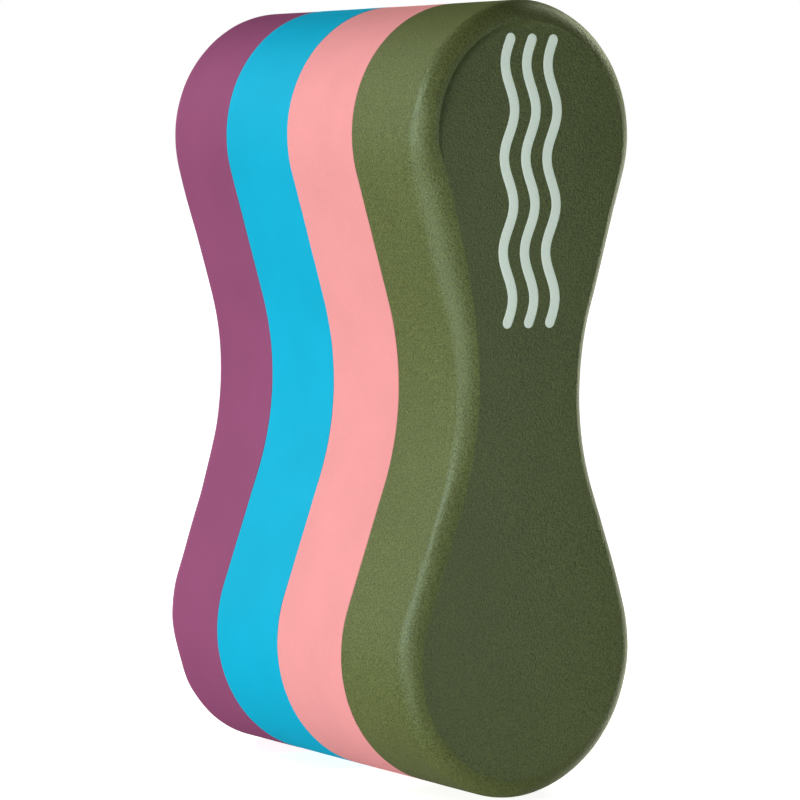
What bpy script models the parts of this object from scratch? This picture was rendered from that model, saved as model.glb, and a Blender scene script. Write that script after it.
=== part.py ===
"""Pull buoy: four foam layers glued face to face, with a wave mark printed on the front.

Metres. +Z runs along the buoy's length, X across its lobes and Y through its layers,
with the front face towards -Y. The buoy stands on z = 0, centred on x = 0 and y = 0.
Run with blender --background --python part.py, or from Blender's text editor.
"""
import math

import bmesh
import bpy
from mathutils import Vector

# ---- Overall size ----
LENGTH = 0.240          # along Z, over both lobes
DEPTH = 0.145           # along Y, front face to back face
TOP_RADIUS = 0.0402     # round end of the smaller, upper lobe
BOTTOM_RADIUS = 0.0426  # round end of the larger, lower lobe, so the buoy is 85 mm wide
WAIST_WIDTH = 0.045     # narrowest width
WAIST_RADIUS = 0.090    # hollow curve on each side of the waist
WAIST_Z = 0.0027        # height of the waist above the buoy's middle
EDGE_RADIUS = 0.007     # rounded edge round the front and back faces

# ---- Layers and the glue between them ----
GAP = 0.0003            # clearance between neighbouring solids
BOND_THICKNESS = 0.0003
BOND_INSET = 0.002      # the glue stops this far short of the sides
SEAM = BOND_THICKNESS + 2 * GAP
LAYER_THICKNESS = (DEPTH - 3 * SEAM) / 4

# ---- Wave mark: three parallel wavy lines on the upper half of the front face ----
PRINT_THICKNESS = 0.0003
WAVE_COUNT = 3          # wavelengths in each line
WAVE_LENGTH = 0.028
WAVE_HEIGHT = 0.0018    # sideways swing each way from the middle of a line
LINE_WIDTH = 0.0034
LINE_SPACING = 0.0078
PRINT_BOTTOM = 0.144

CENTRE_Z = LENGTH / 2
FRONT_Y = -DEPTH / 2

# ---- Linear base colours ----
OLIVE = (0.120, 0.140, 0.066)
CORAL = (0.960, 0.372, 0.381)
CYAN = (0.012, 0.497, 0.745)
PLUM = (0.347, 0.091, 0.205)
GLUE = (0.720, 0.660, 0.500)
INK = (0.480, 0.575, 0.514)


def clear_scene():
    for obj in list(bpy.data.objects):
        bpy.data.objects.remove(obj, do_unlink=True)


def material(name, colour, roughness):
    mat = bpy.data.materials.new(name)
    mat.use_nodes = True
    shader = mat.node_tree.nodes["Principled BSDF"]
    shader.inputs["Base Color"].default_value = (*colour, 1.0)
    shader.inputs["Roughness"].default_value = roughness
    shader.inputs["Metallic"].default_value = 0.0
    mat.diffuse_color = (*colour, 1.0)
    return mat


def arc(centre_x, centre_z, radius, start, end, steps):
    """Points (x, z) along an arc, both ends included. Angles are in radians from +X."""
    angles = [start + (end - start) * i / steps for i in range(steps + 1)]
    return [(centre_x + radius * math.cos(a), centre_z + radius * math.sin(a)) for a in angles]


def tuck(lobe_radius, waist_x, rise):
    """How far past level a lobe's arc carries on before it meets the waist's tangent.

    waist_x and rise are the distances across and along from the waist arc's centre to
    the lobe's.
    """
    lean = math.acos((lobe_radius + WAIST_RADIUS) / math.hypot(waist_x, rise))
    return math.atan2(rise, waist_x) - lean


def hourglass(inset, lobe_steps=44, waist_steps=12):
    """Closed outline (x, z) about the buoy's middle, moved inwards by inset.

    Each lobe is an arc and each side of the waist is another, and straight tangents
    join them. Moving the outline inwards only changes the radii of the arcs.
    """
    top_z = LENGTH / 2 - TOP_RADIUS
    bottom_z = BOTTOM_RADIUS - LENGTH / 2
    waist_x = WAIST_WIDTH / 2 + WAIST_RADIUS
    above = tuck(TOP_RADIUS, waist_x, top_z - WAIST_Z)
    below = tuck(BOTTOM_RADIUS, waist_x, WAIST_Z - bottom_z)

    waist = WAIST_RADIUS + inset
    top = arc(0.0, top_z, TOP_RADIUS - inset, -above, math.pi + above, lobe_steps)
    left = arc(-waist_x, WAIST_Z, waist, above, -below, waist_steps)
    bottom = arc(0.0, bottom_z, BOTTOM_RADIUS - inset, math.pi - below, 2 * math.pi + below,
                 lobe_steps)
    right = arc(waist_x, WAIST_Z, waist, math.pi + below, math.pi - above, waist_steps)
    return top + left + bottom + right


def wave_line(steps_per_wave=16, end_steps=6):
    """Closed outline (x, z) of one wavy line with round ends, starting at z = 0."""
    half = LINE_WIDTH / 2
    left, right = [], []
    steps = WAVE_COUNT * steps_per_wave
    for i in range(steps + 1):
        phase = 2 * math.pi * i / steps_per_wave
        x, z = WAVE_HEIGHT * math.sin(phase), WAVE_LENGTH * i / steps_per_wave
        slope = WAVE_HEIGHT * 2 * math.pi / WAVE_LENGTH * math.cos(phase)
        across = Vector((1.0, -slope)).normalized() * half
        right.append((x + across.x, z + across.y))
        left.append((x - across.x, z - across.y))
    # every whole wave ends with the slope it began with, so both ends turn alike
    turn = math.atan2(across.y, across.x)
    top = arc(x, z, half, turn, turn + math.pi, end_steps)[1:-1]
    bottom = arc(0.0, 0.0, half, turn + math.pi, turn + 2 * math.pi, end_steps)[1:-1]
    return right + top + left[::-1] + bottom


def solid(name, rings, origin, mat):
    """One closed body lofted through rings of world points, flat at both ends."""
    origin = Vector(origin)
    bm = bmesh.new()
    loops = [[bm.verts.new(Vector(point) - origin) for point in ring] for ring in rings]
    for first, second in zip(loops, loops[1:]):
        for i in range(len(first)):
            j = (i + 1) % len(first)
            bm.faces.new((first[i], first[j], second[j], second[i]))
    bm.faces.new(loops[0])
    bm.faces.new(loops[-1])
    bmesh.ops.recalc_face_normals(bm, faces=bm.faces)
    mesh = bpy.data.meshes.new(name)
    bm.to_mesh(mesh)
    bm.free()
    mesh.shade_smooth()
    mesh.set_sharp_from_angle(angle=math.radians(30))
    mesh.materials.append(mat)
    obj = bpy.data.objects.new(name, mesh)
    obj.location = origin
    bpy.context.collection.objects.link(obj)
    return obj


def hourglass_ring(inset, y):
    return [(x, y, CENTRE_Z + z) for x, z in hourglass(inset)]


def outer_layer(name, face_y, inwards, mat, edge_steps=6):
    """Foam layer with a rounded edge round its outer face. inwards is +1 or -1 along Y."""
    rings = []
    for i in range(edge_steps + 1):
        a = math.pi / 2 * i / edge_steps
        inset = EDGE_RADIUS * (1 - math.sin(a))
        rings.append(hourglass_ring(inset, face_y + inwards * EDGE_RADIUS * (1 - math.cos(a))))
    inner_y = face_y + inwards * LAYER_THICKNESS
    rings.append(hourglass_ring(0.0, inner_y))
    return solid(name, rings, (0.0, (face_y + inner_y) / 2, CENTRE_Z), mat)


def slab(name, y, thickness, inset, mat):
    """Plain slice of the hourglass from y to y + thickness."""
    rings = [hourglass_ring(inset, y), hourglass_ring(inset, y + thickness)]
    return solid(name, rings, (0.0, y + thickness / 2, CENTRE_Z), mat)


def foam_layers():
    pitch = LAYER_THICKNESS + SEAM
    outer_layer("front_layer", FRONT_Y, 1, material("foam_olive", OLIVE, 0.75))
    slab("inner_front_layer", FRONT_Y + pitch, LAYER_THICKNESS, 0.0,
         material("foam_coral", CORAL, 0.7))
    slab("inner_back_layer", FRONT_Y + 2 * pitch, LAYER_THICKNESS, 0.0,
         material("foam_cyan", CYAN, 0.7))
    outer_layer("back_layer", -FRONT_Y, -1, material("foam_plum", PLUM, 0.7))


def bond_films():
    """Dried contact glue in each of the three seams."""
    glue = material("glue", GLUE, 0.5)
    for i, name in enumerate(("front_bond_film", "middle_bond_film", "back_bond_film")):
        y = FRONT_Y + (i + 1) * LAYER_THICKNESS + i * SEAM + GAP
        slab(name, y, BOND_THICKNESS, BOND_INSET, glue)


def wave_mark():
    """Ink film of the three wavy lines, standing just clear of the front face."""
    ink = material("ink", INK, 0.45)
    outline = wave_line()
    back_y = FRONT_Y - GAP
    for i, name in enumerate(("wave_print_left", "wave_print_middle", "wave_print_right")):
        x0 = (i - 1) * LINE_SPACING
        rings = [[(x0 + x, y, PRINT_BOTTOM + z) for x, z in outline]
                 for y in (back_y - PRINT_THICKNESS, back_y)]
        solid(name, rings, (x0, back_y, PRINT_BOTTOM), ink)


clear_scene()
foam_layers()
bond_films()
wave_mark()
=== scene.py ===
"""The looks of the pull buoy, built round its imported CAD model.

Metres. +Z runs along the buoy, X across its lobes and Y through its layers, with the
front face towards -Y. Each foam layer is rebuilt as a fine mesh whose ends close the
clearances of the CAD solids, so that the colours meet in tight seams.
"""

import math

import bmesh
import bpy
from mathutils import Matrix, Vector, noise


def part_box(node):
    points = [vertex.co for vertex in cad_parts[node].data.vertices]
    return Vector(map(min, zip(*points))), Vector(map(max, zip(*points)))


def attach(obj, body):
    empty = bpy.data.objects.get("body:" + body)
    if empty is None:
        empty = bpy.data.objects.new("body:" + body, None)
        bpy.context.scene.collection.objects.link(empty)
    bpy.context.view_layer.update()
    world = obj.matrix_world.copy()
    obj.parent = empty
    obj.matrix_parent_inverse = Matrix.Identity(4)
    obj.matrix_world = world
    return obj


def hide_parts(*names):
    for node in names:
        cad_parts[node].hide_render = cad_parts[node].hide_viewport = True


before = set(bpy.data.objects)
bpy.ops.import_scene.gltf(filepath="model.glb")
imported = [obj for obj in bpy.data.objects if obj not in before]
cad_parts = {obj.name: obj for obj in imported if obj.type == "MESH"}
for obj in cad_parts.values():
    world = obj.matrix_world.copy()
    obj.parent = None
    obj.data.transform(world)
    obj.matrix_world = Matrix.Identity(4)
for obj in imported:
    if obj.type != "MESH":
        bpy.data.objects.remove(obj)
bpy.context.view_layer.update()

# ---- Sizes that the CAD nodes give ----
low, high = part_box("inner_front_layer")
CENTRE_Z = (low.z + high.z) / 2
HALF_LENGTH = (high.z - low.z) / 2
BOTTOM_RADIUS = (high.x - low.x) / 2
FRONT_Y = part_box("front_layer")[0].y
BACK_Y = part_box("back_layer")[1].y

# ---- Sizes of the outline and its edges, as in the CAD ----
TOP_RADIUS = 0.0402
WAIST_WIDTH = 0.045
WAIST_RADIUS = 0.090
WAIST_Z = 0.0027
EDGE_RADIUS = 0.007

# ---- Rounded edges ----
# An edge is a tuple of stations up the outline. Each has the height from the middle, the
# radius, how far the surface has turned from the side in degrees where it comes to the
# face, and how much tighter it bends by the side than by the face. There it rolls over
# with a second, smaller radius, up to so many degrees past the face: with 0 it lies level,
# and with more it stands proud and sinks to the face in a hollow.
EVEN_BEND = 0.3
CREASE_RADIUS = 0.0003
LIP_RADIUS = 0.0009
HOLLOW_RADIUS = 0.0022


def creased_edge(*stations):
    """An edge that bends evenly and meets its face in a crease all the way round."""
    return tuple((height, radius, turn, EVEN_BEND, CREASE_RADIUS, 0)
                 for height, radius, turn in stations)


FRONT_LEFT_EDGE = (
    (-0.120, 0.0070, 78, 0.3, CREASE_RADIUS, 0),
    (-0.084, 0.0078, 72, 0.1, CREASE_RADIUS, 0),
    (-0.060, 0.0068, 78, -0.1, CREASE_RADIUS, 0),
    (-0.035, 0.0066, 76, 0.3, CREASE_RADIUS, 0),
    (-0.010, 0.0078, 66, 0.3, CREASE_RADIUS, 0),
    (0.010, 0.0094, 63, 0.3, CREASE_RADIUS, 0),
    (0.045, 0.0120, 68, 0.2, CREASE_RADIUS, 0),
    (0.062, 0.0111, 74, 0.0, CREASE_RADIUS, 0),
    (0.078, 0.0072, 87, -0.1, LIP_RADIUS, 30),
    (0.090, 0.0059, 90, 0.0, LIP_RADIUS, 58),
    (0.120, 0.0053, 90, 0.3, LIP_RADIUS, 58),
)
FRONT_RIGHT_EDGE = creased_edge(
    (-0.120, 0.0085, 78), (-0.095, 0.0096, 70), (-0.075, 0.0088, 68),
    (-0.050, 0.0070, 66), (-0.010, 0.0086, 63), (0.030, 0.0086, 62),
    (0.060, 0.0106, 61), (0.088, 0.0100, 66), (0.120, 0.0080, 78),
)
BACK_LEFT_EDGE = creased_edge(
    (-0.120, 0.0070, 86), (-0.102, 0.0106, 86), (-0.090, 0.0130, 86),
    (-0.075, 0.0106, 86), (-0.060, 0.0094, 86), (-0.040, 0.0084, 86),
    (-0.020, 0.0060, 86), (0.000, 0.0053, 86), (0.045, 0.0060, 86),
    (0.060, 0.0051, 86), (0.075, 0.0056, 86), (0.120, 0.0060, 86),
)
BACK_RIGHT_EDGE = creased_edge((0.0, EDGE_RADIUS, 86))

# where a left edge passes into a right one, by how far the outline faces right
CROSSING_START = -0.25
CROSSING_WIDTH = 0.8

# ---- Finer shape ----
OUTLINE_STEP = 0.0012      # spacing of points along the outline
SIDE_STEP = 0.0018         # spacing of rings through a layer
EDGE_ANGLE = math.radians(7)       # between the rings of a rounded edge
ROLL_STEPS = 5             # rings in each of the two bends by the face
ROLL_SPACE = 0.0001        # keeps those rings apart where they would coincide
SEAM_BEVEL = 0.00018
SEAM_GAP = 0.00001
LIP_WIDTH = 0.0012         # rim that closes the clearance; the glue film lies inside it
FACE_COLUMNS = 32
HIDDEN_COLUMNS = 6         # across an end that lies in a seam
SHARP_ANGLE = math.radians(50)
SWELLS = (0.00012, 28)     # height and frequency of the unevenness of cut foam
RIPPLES = (0.00004, 130)

LAYERS = ("front_layer", "inner_front_layer", "inner_back_layer", "back_layer")

# ---- Wave mark, as in the CAD ----
WAVE_COUNT = 3
WAVE_LENGTH = 0.028
WAVE_HEIGHT = 0.0018
LINE_WIDTH = 0.0034
LINE_SPACING = 0.0078
PRINT_BOTTOM = 0.144
INK_HEIGHT = 0.00003
INK_SINK = 0.00002         # how far the ink's underside lies in the foam
LINE_STEPS = 160
HALF_LINE_STEPS = 4        # from a line's middle to its side


# ---------------------------------------------------------------- outline

def lobe_to_waist(radius, side):
    """Quarter of the hourglass from a lobe's end to the waist, on the right.

    side is 1 for the upper lobe and -1 for the lower. A list of (point, outward normal),
    both as (x, z) about the middle.
    """
    def direction(a):
        return Vector((math.cos(a), side * math.sin(a)))

    lobe = Vector((0.0, side * (HALF_LENGTH - radius)))
    waist = Vector((WAIST_WIDTH / 2 + WAIST_RADIUS, WAIST_Z))
    rise = abs(waist.y - lobe.y)
    tuck = math.atan2(rise, waist.x) - math.acos(
        (radius + WAIST_RADIUS) / math.hypot(rise, waist.x))
    quarter = []

    steps = round((math.pi / 2 + tuck) * radius / OUTLINE_STEP)
    for i in range(steps + 1):
        normal = direction(math.pi / 2 - (math.pi / 2 + tuck) * i / steps)
        quarter.append((lobe + radius * normal, normal))

    start, normal = quarter[-1]
    end = waist - WAIST_RADIUS * normal
    steps = round((end - start).length / OUTLINE_STEP)
    for i in range(1, steps):
        quarter.append((start.lerp(end, i / steps), normal))

    steps = round(tuck * WAIST_RADIUS / OUTLINE_STEP)
    for i in range(steps + 1):
        normal = direction(-tuck * (1 - i / steps))
        quarter.append((waist - WAIST_RADIUS * normal, normal))
    return quarter


RIGHT = lobe_to_waist(TOP_RADIUS, 1) + lobe_to_waist(BOTTOM_RADIUS, -1)[-2::-1]
MIRROR = Vector((-1.0, 1.0))
LEFT = [(p * MIRROR, n * MIRROR) for p, n in RIGHT]
LOOP = RIGHT + LEFT[-2:0:-1]


# ---------------------------------------------------------------- foam

def unevenness(point, seed):
    """How far cut foam stands off its true surface at a point."""
    shifted = point + Vector((0.0, 0.0, seed))
    return sum(height * noise.noise(shifted * frequency)
               for height, frequency in (SWELLS, RIPPLES))


def ease(part):
    """0 to 1 as part goes from 0 to 1, level at both ends."""
    part = min(max(part, 0.0), 1.0)
    return part * part * (3 - 2 * part)


def edge_at(z, stations):
    """An edge's radius and the numbers after it, at height z from the middle."""
    for one, following in zip(stations, stations[1:]):
        if z <= following[0]:
            part = ease((z - one[0]) / (following[0] - one[0]))
            return Vector(one[1:]).lerp(Vector(following[1:]), part)
    return Vector(stations[-1][1:])


def rounded_end(point, normal, left, right):
    """(inset, depth) from the face to the side, over the rounded edge at one point.

    The left edge passes into the right one over the ends of the outline.
    """
    rightness = ease((normal.x - CROSSING_START) / CROSSING_WIDTH)
    radius, turn, flat, roll, over = edge_at(point.y, left).lerp(
        edge_at(point.y, right), rightness)

    def bend(a):
        """Inset and depth where the surface is at angle a from the face."""
        sine, cosine = math.sin(a), math.cos(a)
        return (radius * ((1 + flat) * (1 - sine) - flat * 2 / 3 * (1 - sine ** 3)),
                radius * ((1 - cosine) + flat * (cosine - cosine ** 3 * 2 / 3 - 1 / 3)))

    start, over = math.radians(90 - turn), math.radians(over)
    edge_inset, edge_depth = bend(start)
    roll_inset = edge_inset + roll * (math.sin(start) + math.sin(over))
    roll_depth = edge_depth + roll * (math.cos(start) - math.cos(over))
    level = roll_depth + HOLLOW_RADIUS * (1 - math.cos(over))
    profile = []
    for i in range(ROLL_STEPS):
        a = over * i / ROLL_STEPS
        profile.append((roll_inset + HOLLOW_RADIUS * (math.sin(over) - math.sin(a))
                        + ROLL_SPACE * (ROLL_STEPS - i),
                        level - HOLLOW_RADIUS * (1 - math.cos(a))))
    for i in range(ROLL_STEPS):
        a = -over + (start + over) * i / ROLL_STEPS
        profile.append((edge_inset + roll * (math.sin(start) - math.sin(a)),
                        edge_depth + roll * (math.cos(start) - math.cos(a))))
    steps = round(math.pi / 2 / EDGE_ANGLE)
    profile += [bend(start + (math.pi / 2 - start) * i / steps) for i in range(steps + 1)]
    return [(inset, depth - level) for inset, depth in profile]


def seam_end(pocket):
    """(inset, depth) from a shallow pocket to the side, over a rim with a fine bevel."""
    return [(LIP_WIDTH, pocket), (LIP_WIDTH, SEAM_GAP), (SEAM_BEVEL, SEAM_GAP),
            (SEAM_BEVEL * 0.3, SEAM_GAP + SEAM_BEVEL * 0.3), (0.0, SEAM_GAP + SEAM_BEVEL),
            (0.0, SEAM_GAP + 3 * SEAM_BEVEL)]


def cap(bm, ring, columns):
    """Fills a ring with rows from its right side to its left, and returns the new points."""
    n = len(RIGHT)
    right, left = ring[:n], [ring[0]] + ring[:n - 2:-1]
    rows = [[ring[0]]]
    for i in range(1, n - 1):
        a, b = right[i], left[i]
        inner = [bm.verts.new(a.co.lerp(b.co, j / columns)) for j in range(1, columns)]
        rows.append([a, *inner, b])
    rows.append([ring[n - 1]])
    for upper, lower in zip(rows, rows[1:]):
        for j in range(columns):
            corners = [upper[min(j, len(upper) - 1)], upper[min(j + 1, len(upper) - 1)],
                       lower[min(j + 1, len(lower) - 1)], lower[min(j, len(lower) - 1)]]
            bm.faces.new(tuple(dict.fromkeys(corners)))     # a row's end may be one point
    return [v for row in rows[1:-1] for v in row[1:-1]]


def foam_layer(node, seed, mat):
    """The fine mesh of one foam layer, which stands for its CAD node."""
    index = LAYERS.index(node)
    is_front, is_back = index == 0, index == len(LAYERS) - 1
    node_front, node_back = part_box(node)[0].y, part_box(node)[1].y
    front = FRONT_Y if is_front else (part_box(LAYERS[index - 1])[1].y + node_front) / 2
    back = BACK_Y if is_back else (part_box(LAYERS[index + 1])[0].y + node_back) / 2

    lines = []
    for p, n in LOOP:
        first = (rounded_end(p, n, FRONT_LEFT_EDGE, FRONT_RIGHT_EDGE) if is_front
                 else seam_end(node_front - front))
        last = (rounded_end(p, n, BACK_LEFT_EDGE, BACK_RIGHT_EDGE) if is_back
                else seam_end(back - node_back))
        start, stop = front + first[-1][1], back - last[-1][1]
        steps = round((back - front - 2 * EDGE_RADIUS) / SIDE_STEP)
        side = [(0.0, start + (stop - start) * i / steps) for i in range(1, steps)]
        profile = ([(inset, front + depth) for inset, depth in first] + side
                   + [(inset, back - depth) for inset, depth in reversed(last)])
        lines.append([Vector((p.x - n.x * inset, y, CENTRE_Z + p.y - n.y * inset))
                      for inset, y in profile])

    bm = bmesh.new()
    rings = [[bm.verts.new(line[k]) for line in lines] for k in range(len(lines[0]))]
    for ring, following in zip(rings, rings[1:]):
        for i in range(len(ring)):
            j = (i + 1) % len(ring)
            bm.faces.new((ring[i], ring[j], following[j], following[i]))
    front_inner = cap(bm, rings[0], FACE_COLUMNS if is_front else HIDDEN_COLUMNS)
    back_inner = cap(bm, rings[-1], FACE_COLUMNS if is_back else HIDDEN_COLUMNS)
    bmesh.ops.recalc_face_normals(bm, faces=bm.faces)

    # the three rings of a pocket and its rim in a seam stay true
    seen = [v for ring in rings[0 if is_front else 3:None if is_back else -3] for v in ring]
    seen += front_inner if is_front else []
    seen += back_inner if is_back else []
    bm.normal_update()
    moves = [(v, v.normal * unevenness(v.co, seed)) for v in seen]
    for v, move in moves:
        v.co += move
    return piece("foam_" + node, bm, node, mat)


def link(obj):
    """Puts an object in the scene, and returns it."""
    bpy.context.scene.collection.objects.link(obj)
    return obj


def piece(name, bm, node, mat):
    """A smooth-shaded object that rides on the buoy and stands for a CAD node."""
    mesh = bpy.data.meshes.new(name)
    bm.to_mesh(mesh)
    bm.free()
    mesh.shade_smooth()
    mesh.set_sharp_from_angle(angle=SHARP_ANGLE)
    mesh.materials.append(mat)
    obj = link(bpy.data.objects.new(name, mesh))
    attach(obj, "root")
    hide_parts(node)
    return obj


# ---------------------------------------------------------------- print

def wave_line(node, x0, seed, mat):
    """One wavy line of ink, a film with soft edges that follows the foam under it."""
    half = LINE_WIDTH / 2
    length = WAVE_COUNT * WAVE_LENGTH
    across = [math.sin(math.pi / 2 * t / HALF_LINE_STEPS)
              for t in range(-HALF_LINE_STEPS, HALF_LINE_STEPS + 1)]

    def thickness(t):
        return INK_HEIGHT * (1 - t ** 6)

    sections = []
    for i in range(LINE_STEPS + 1):
        # s runs along the line, in steps that close up on its round ends
        s = -half + (length + 2 * half) * (1 - math.cos(math.pi * i / LINE_STEPS)) / 2
        past_end = max(-s, s - length, 0.0)
        width = half * math.sqrt(max(0.0, 1 - (past_end / half) ** 2))
        phase = 2 * math.pi * s / WAVE_LENGTH
        swing = 2 * math.pi * WAVE_HEIGHT / WAVE_LENGTH * math.cos(phase)
        sideways = Vector((1.0, -swing)).normalized()
        x, z = x0 + WAVE_HEIGHT * math.sin(phase), PRINT_BOTTOM + s
        section = []
        for t in across:
            px, pz = x + sideways.x * width * t, z + sideways.y * width * t
            foam = FRONT_Y - unevenness(Vector((px, FRONT_Y, pz)), seed)
            section.append(Vector((px, foam - thickness(t), pz)))
        sections.append(section)

    bm = bmesh.new()
    tops = [[bm.verts.new(p) for p in section] for section in sections[1:-1]]
    under = [[bm.verts.new(p + Vector((0, thickness(t) + INK_SINK, 0)))
              for p, t in zip(section, across)] for section in sections[1:-1]]
    for sheet in (tops, under):
        for a, b in zip(sheet, sheet[1:]):
            for j in range(len(across) - 1):
                bm.faces.new((a[j], a[j + 1], b[j + 1], b[j]))
    for j in (0, -1):
        for a, b, c, d in zip(tops, tops[1:], under[1:], under):
            bm.faces.new((a[j], b[j], c[j], d[j]))
    for k in (0, -1):
        for j in range(len(across) - 1):
            bm.faces.new((tops[k][j], tops[k][j + 1], under[k][j + 1], under[k][j]))
    bmesh.ops.recalc_face_normals(bm, faces=bm.faces)
    return piece("ink_" + node, bm, node, mat)


# ---------------------------------------------------------------- materials

def add(tree, kind, links=(), **settings):
    """Adds a node. links is ((input, value or output socket), ...), settings its options."""
    made = tree.nodes.new(kind)
    for key, value in settings.items():
        setattr(made, key, value)
    for key, value in links:
        socket = made.inputs[key] if isinstance(key, int) else next(
            one for one in made.inputs if one.name == key and one.enabled)
        if isinstance(value, bpy.types.NodeSocket):
            tree.links.new(value, socket)
        else:
            socket.default_value = value
    return made


def spread(tree, value, low_out, high_out, low_in=0.3, high_in=0.7):
    """Maps a texture's middle range onto low_out to high_out."""
    return add(tree, "ShaderNodeMapRange", (
        ("Value", value), ("From Min", low_in), ("From Max", high_in),
        ("To Min", low_out), ("To Max", high_out))).outputs["Result"]


def new_material(name, **values):
    """A material, its node tree and its shader, with values for the shader's inputs."""
    mat = bpy.data.materials.new(name)
    mat.use_nodes = True
    shader = mat.node_tree.nodes["Principled BSDF"]
    for key, value in values.items():
        shader.inputs[key.replace("_", " ")].default_value = value
    return mat, mat.node_tree, shader


def on_object(tree):
    """The place on the object, in metres, for a texture."""
    return add(tree, "ShaderNodeTexCoord").outputs["Object"]


def brightened(tree, colour, value):
    """A colour whose brightness is multiplied by value."""
    return add(tree, "ShaderNodeHueSaturation", (
        ("Value", value), ("Color", colour))).outputs["Color"]


def add_bump(tree, shader, height, strength, distance):
    """Gives a shader a relief of so many metres."""
    bump = add(tree, "ShaderNodeBump", (
        ("Height", height), ("Strength", strength), ("Distance", distance)))
    tree.links.new(bump.outputs["Normal"], shader.inputs["Normal"])


def foam_material(name, colour, grain, painted_glints, pebble, roughness, specular, tint):
    """Closed-cell foam: cloudy and grainy colour, pale specks painted in as glints off its
    skin, and a pebbled skin.
    """
    mat, tree, shader = new_material(
        name, Specular_IOR_Level=specular, Specular_Tint=(*tint, 1.0))
    where = on_object(tree)
    clouds = add(tree, "ShaderNodeTexNoise", (
        ("Vector", where), ("Scale", 38.0), ("Detail", 3.0))).outputs["Fac"]
    grains = add(tree, "ShaderNodeTexNoise", (
        ("Vector", where), ("Scale", 2100.0), ("Detail", 1.0))).outputs["Fac"]
    cells = add(tree, "ShaderNodeTexVoronoi", (
        ("Vector", where), ("Scale", 1300.0))).outputs["Distance"]

    cloudy = brightened(tree, (*colour, 1.0), spread(tree, clouds, 0.96, 1.04))
    grainy = brightened(tree, cloudy, spread(tree, grains, 1 - grain, 1 + grain))
    # pale specks painted into the base colour, standing for glints of light off the pebbled
    # skin
    pale = (*(0.5 * c + 0.25 for c in colour), 1.0)
    glint_painted = add(tree, "ShaderNodeMix", (
        ("Factor", spread(tree, cells, painted_glints, 0.0, 0.05, 0.30)),
        ("A", grainy), ("B", pale)), data_type="RGBA")
    tree.links.new(next(one for one in glint_painted.outputs if one.enabled),
                   shader.inputs["Base Color"])
    tree.links.new(spread(tree, grains, roughness - 0.08, roughness + 0.08),
                   shader.inputs["Roughness"])

    height = add(tree, "ShaderNodeMath", ((0, grains), (1, cells)), operation="SUBTRACT")
    add_bump(tree, shader, height.outputs[0], pebble, 0.0001)
    return mat


def ink_material():
    """Matt print ink, with a faint painted glow that brightens it."""
    # the emission is painted light: a glow that makes the ink brighter than the lamps alone
    # make it
    mat, tree, shader = new_material(
        "ink", Roughness=0.4, Specular_IOR_Level=0.8,
        Emission_Color=(0.70, 1.0, 0.75, 1.0), Emission_Strength=0.17)
    grains = add(tree, "ShaderNodeTexNoise", (
        ("Vector", on_object(tree)), ("Scale", 1300.0), ("Detail", 2.0))).outputs["Fac"]
    colour = brightened(tree, (0.88, 0.99, 0.91, 1.0), spread(tree, grains, 0.93, 1.05))
    tree.links.new(colour, shader.inputs["Base Color"])
    add_bump(tree, shader, grains, 0.25, 0.0001)
    return mat


def glue_material():
    """Dried contact glue, brushed on in streaks."""
    mat, tree, shader = new_material("glue", Roughness=0.45)
    streaks = add(tree, "ShaderNodeMapping", (
        ("Vector", on_object(tree)), ("Scale", (900.0, 1.0, 40.0)))).outputs["Vector"]
    brushed = add(tree, "ShaderNodeTexNoise", (
        ("Vector", streaks), ("Scale", 1.0), ("Detail", 4.0))).outputs["Fac"]
    colour = brightened(tree, (0.72, 0.66, 0.50, 1.0), spread(tree, brushed, 0.8, 1.1))
    tree.links.new(colour, shader.inputs["Base Color"])
    add_bump(tree, shader, brushed, 0.6, 0.0002)
    return mat


# ---------------------------------------------------------------- studio

WHITE = (1.0, 1.0, 1.0)
CREAM = (1.0, 1.0, 0.8)
FLOOR_RADIUS = 20
FLOOR_CORNERS = 64
FLOOR_SHADE = (0.6, 0.6, 0.6)
FLOOR_GLOW = 0.9
UPPER_ROOM = 0.05
FLOOR_BOUNCE = 0.12

CAMERA_AZIMUTH = -33.79
CAMERA_ELEVATION = 3.705
CAMERA_ROLL = 0.502
CAMERA_DISTANCE = 1.0845
CAMERA_LENS = 158.92        # on a 36 mm sensor
CAMERA_TARGET = Vector((-0.01590, -0.0275, 0.11854))


def from_side(azimuth, elevation):
    """Unit vector towards a side of the buoy: azimuth 0 is -Y and 90 is +X."""
    a, e = math.radians(azimuth), math.radians(elevation)
    return Vector((math.sin(a) * math.cos(e), -math.cos(a) * math.cos(e), math.sin(e)))


def floor():
    """A pale floor, glowing so that it stays white under the dim upper room.

    It throws no light on the buoy: the lower half of the world stands in for its bounce.
    """
    angles = [2 * math.pi * i / FLOOR_CORNERS for i in range(FLOOR_CORNERS)]
    bm = bmesh.new()
    bm.faces.new([bm.verts.new((FLOOR_RADIUS * math.cos(a), FLOOR_RADIUS * math.sin(a), 0.0))
                  for a in angles])
    mesh = bpy.data.meshes.new("floor")
    bm.to_mesh(mesh)
    bm.free()
    mat, _, _ = new_material(
        "floor", Base_Color=(*FLOOR_SHADE, 1.0), Roughness=1.0, Specular_IOR_Level=0.0,
        Emission_Color=(*WHITE, 1.0), Emission_Strength=FLOOR_GLOW)
    mesh.materials.append(mat)
    obj = link(bpy.data.objects.new("floor", mesh))
    obj.visible_diffuse = False
    obj.visible_glossy = False
    obj.visible_shadow = False


def lamp(name, kind, azimuth, elevation, energy, diffuse=True, glossy=True, colour=WHITE):
    """A lamp that shines from a side of the buoy, with or without its reflection."""
    data = bpy.data.lights.new(name, kind)
    data.color = colour
    data.energy = energy
    obj = link(bpy.data.objects.new(name, data))
    obj.rotation_mode = "QUATERNION"
    obj.rotation_quaternion = from_side(azimuth, elevation).to_track_quat("Z", "Y")
    obj.visible_diffuse = diffuse
    obj.visible_glossy = glossy
    return obj


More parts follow.
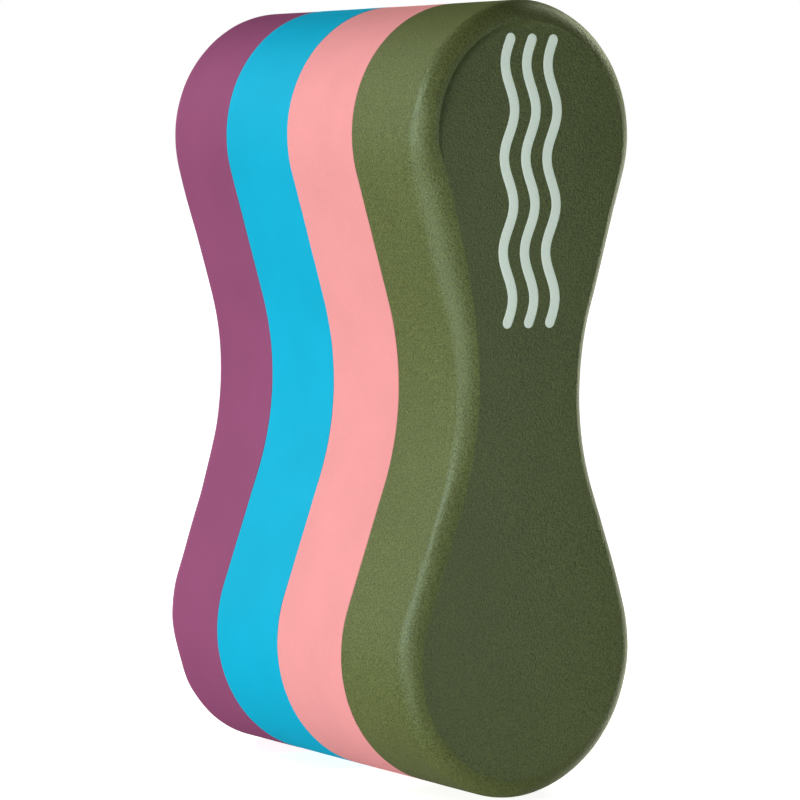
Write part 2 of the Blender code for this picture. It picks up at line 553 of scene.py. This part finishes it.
def sun(name, azimuth, elevation, strength, spread_degrees, **looks):
    """A far soft light."""
    obj = lamp(name, "SUN", azimuth, elevation, strength, **looks)
    obj.data.angle = math.radians(spread_degrees)


def soft_box(name, azimuth, elevation, distance, width, height, watts, aim, **looks):
    """A lamp near the buoy that faces the point aim, and that the camera doesn't see."""
    obj = lamp(name, "AREA", azimuth, elevation, watts, **looks)
    obj.data.shape = "RECTANGLE"
    obj.data.size = width
    obj.data.size_y = height
    obj.location = Vector(aim) + from_side(azimuth, elevation) * distance
    obj.visible_camera = False


def lamps():
    """The photographer's lights: broad ones, and small ones for single highlights."""
    sun("key", -76, -19, 2.5, 36, glossy=False)
    sun("gloss", -64, -18, 1.6, 36, diffuse=False)
    sun("back", -168, 32, 2.8, 40, glossy=False)
    sun("low", 108, -15, 0.9, 36, colour=CREAM)
    soft_box("rim", 102, 32, 0.45, 0.2, 0.2, 1.5, (0.04, FRONT_Y, 0.13),
             glossy=False, colour=CREAM)
    soft_box("crown", 104, 36, 0.45, 0.2, 0.2, 0.7, (0.04, FRONT_Y, 0.15),
             diffuse=False, colour=CREAM)
    soft_box("streak", -104, 33, 0.45, 0.09, 0.16, 1.8, (-0.03, FRONT_Y, 0.08), diffuse=False)
    soft_box("lower_side", -100, 10, 0.122, 0.03, 0.03, 0.1, (-0.035, FRONT_Y, 0.048),
             diffuse=False)
    soft_box("upper_side", -100, -5, 0.122, 0.03, 0.03, 0.07, (-0.035, FRONT_Y, 0.19),
             diffuse=False)
    soft_box("face", 31, 0, 0.2, 0.05, 0.28, 0.17, (-0.035, FRONT_Y, 0.1), diffuse=False)
    soft_box("foot", 25, -5, 0.16, 0.05, 0.05, 0.018, (0.01, FRONT_Y, 0.03), glossy=False)


def studio_world():
    """White round the horizon, dim above, and as bright below as light off the floor."""
    world = bpy.data.worlds.new("studio")
    bpy.context.scene.world = world
    world.use_nodes = True
    tree = world.node_tree
    where = add(tree, "ShaderNodeTexCoord").outputs["Generated"]
    height = add(tree, "ShaderNodeSeparateXYZ", ((0, where),)).outputs["Z"]
    above = add(tree, "ShaderNodeMapRange", (
        ("Value", height), ("From Min", 0.07), ("From Max", 0.14),
        ("To Min", 1.0), ("To Max", UPPER_ROOM)), interpolation_type="SMOOTHSTEP")
    below = add(tree, "ShaderNodeMapRange", (
        ("Value", height), ("From Min", -0.02), ("From Max", -0.05),
        ("To Min", 1.0), ("To Max", FLOOR_BOUNCE)), interpolation_type="SMOOTHSTEP")
    level = add(tree, "ShaderNodeMath", (
        (0, above.outputs["Result"]), (1, below.outputs["Result"])), operation="MINIMUM")
    tree.links.new(level.outputs[0], tree.nodes["Background"].inputs["Strength"])
    tree.nodes["Background"].inputs["Color"].default_value = (*WHITE, 1.0)


def camera():
    """The photograph's camera: a long lens, a little above the middle of the buoy."""
    data = bpy.data.cameras.new("camera")
    data.lens = CAMERA_LENS
    obj = link(bpy.data.objects.new("camera", data))
    back = from_side(CAMERA_AZIMUTH, CAMERA_ELEVATION)
    turn = (-back).to_track_quat("-Z", "Y").to_matrix().to_4x4()
    roll = Matrix.Rotation(math.radians(CAMERA_ROLL), 4, "Z")
    obj.matrix_world = Matrix.Translation(CAMERA_TARGET + back * CAMERA_DISTANCE) @ turn @ roll
    bpy.context.scene.camera = obj


# ---------------------------------------------------------------- assembly

# the specks value sets how strongly pale glints are painted into each foam's colour
SMOOTH_FOAM = dict(grain=0.03, painted_glints=0.02, pebble=0.2, roughness=0.7, specular=0.1, tint=WHITE)
PEBBLED_FOAM = dict(grain=0.4, painted_glints=0.26, pebble=0.8, roughness=0.45, specular=0.26,
                    tint=(0.75, 1.0, 0.85))
FOAMS = {
    "front_layer": ("foam_olive", (0.121, 0.149, 0.045), PEBBLED_FOAM),
    "inner_front_layer": ("foam_coral", (0.90, 0.355, 0.355), SMOOTH_FOAM),
    "inner_back_layer": ("foam_cyan", (0.003, 0.46, 0.70), SMOOTH_FOAM),
    "back_layer": ("foam_plum", (0.30, 0.078, 0.18), SMOOTH_FOAM),
}
FRONT_SEED = 1.0
SEED_STEP = 3.7

for number, (node, (slot, colour, skin)) in enumerate(FOAMS.items()):
    foam = foam_material(slot, colour, **skin)
    layer = foam_layer(node, FRONT_SEED + SEED_STEP * number, foam)

ink = ink_material()
for place, node in enumerate(("wave_print_left", "wave_print_middle", "wave_print_right")):
    line = wave_line(node, (place - 1) * LINE_SPACING, FRONT_SEED, ink)

# the glue films keep their CAD shape
glue = glue_material()
for node in ("front_bond_film", "middle_bond_film", "back_bond_film"):
    for material_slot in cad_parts[node].material_slots:
        material_slot.material = glue

floor()
studio_world()
lamps()
camera()
bpy.context.scene.view_settings.view_transform = "Standard"
